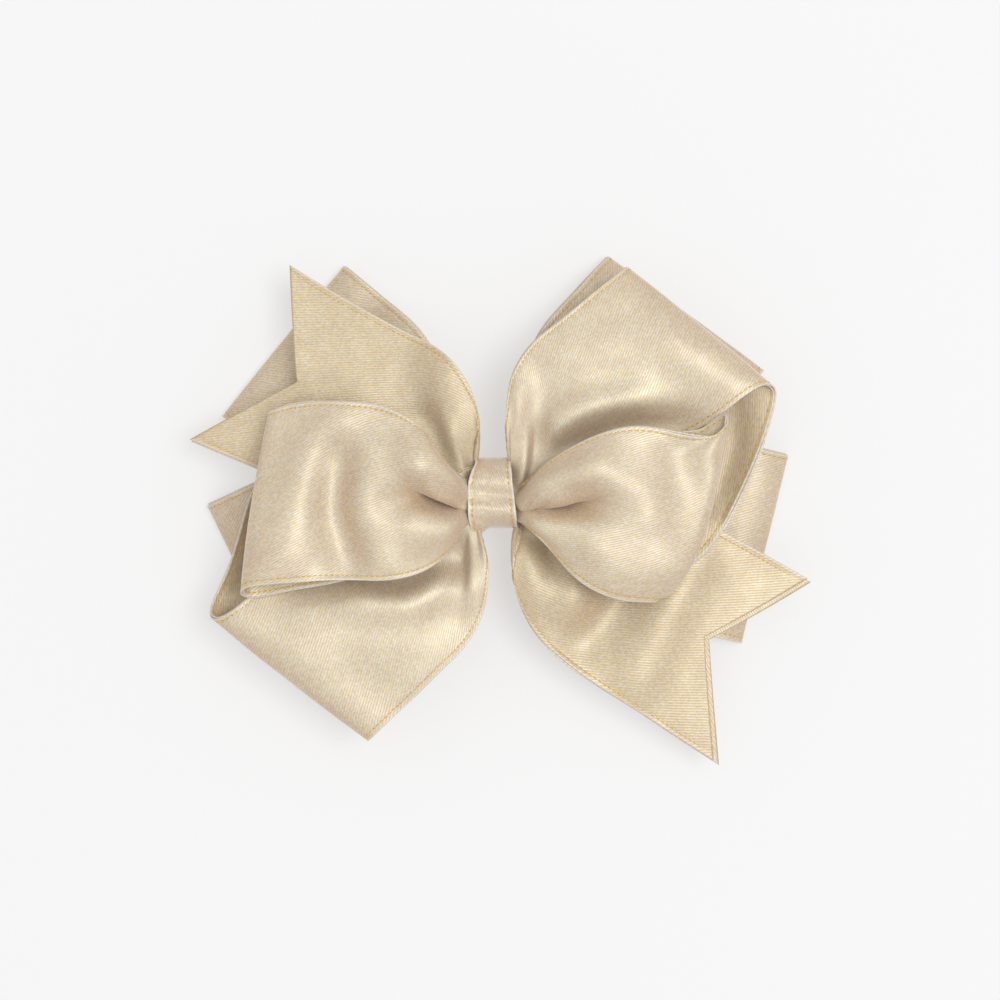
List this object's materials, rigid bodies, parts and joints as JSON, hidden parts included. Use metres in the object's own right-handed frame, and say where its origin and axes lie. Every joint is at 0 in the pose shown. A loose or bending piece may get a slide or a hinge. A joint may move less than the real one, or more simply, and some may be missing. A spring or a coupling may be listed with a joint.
{
  "type": "gift bow",
  "caption": "Ready-made layered gift bow of doubled satin ribbon with swallow-tail ends, held at its waist by a narrow ribbon wrap on a sprung metal clip.",
  "frame": {"origin": "on the table the bow lies on, under the middle of its outline", "axes": "+Z is the bow's front, away from the clip; +X runs along the clip and the longest side, +Y towards the upper loops"},
  "size_m": [0.1212, 0.0994, 0.0267],
  "materials": {
    "ribbon": "champagne-gold satin with a metallic sheen",
    "ribbon_lining": "champagne-gold satin, duller back",
    "thread": "gold thread",
    "glue": "hot-melt glue",
    "steel": "nickel-plated steel"
  },
  "bodies": {
    "bow": {"rear_band_a_outer": "ribbon", "rear_band_a_lining": "ribbon_lining", "rear_band_b_outer": "ribbon", "rear_band_b_lining": "ribbon_lining", "tail_ribbon_outer": "ribbon", "tail_ribbon_lining": "ribbon_lining", "front_band_outer": "ribbon", "front_band_lining": "ribbon_lining", "centre_wrap": "ribbon", "binding_thread": "thread", "clip_lining_ribbon": "ribbon_lining", "glue_pad": "glue", "clip_upper_jaw": "steel", "clip_hinge_pin": "steel", "clip_spring": "steel"},
    "lower_jaw": {"clip_lower_jaw": "steel"}
  },
  "joints": [
    {"name": "clip_hinge", "type": "hinge", "parent": "bow", "child": "lower_jaw", "pos_m": [-0.0136, 0.0033, 0.0037], "axis": [0, 1, 0], "range_deg": [0, 14], "stiffness_Nm_per_rad": 0.08, "springref_deg": -57.3, "deforming": ["clip_spring"]}
  ]
}
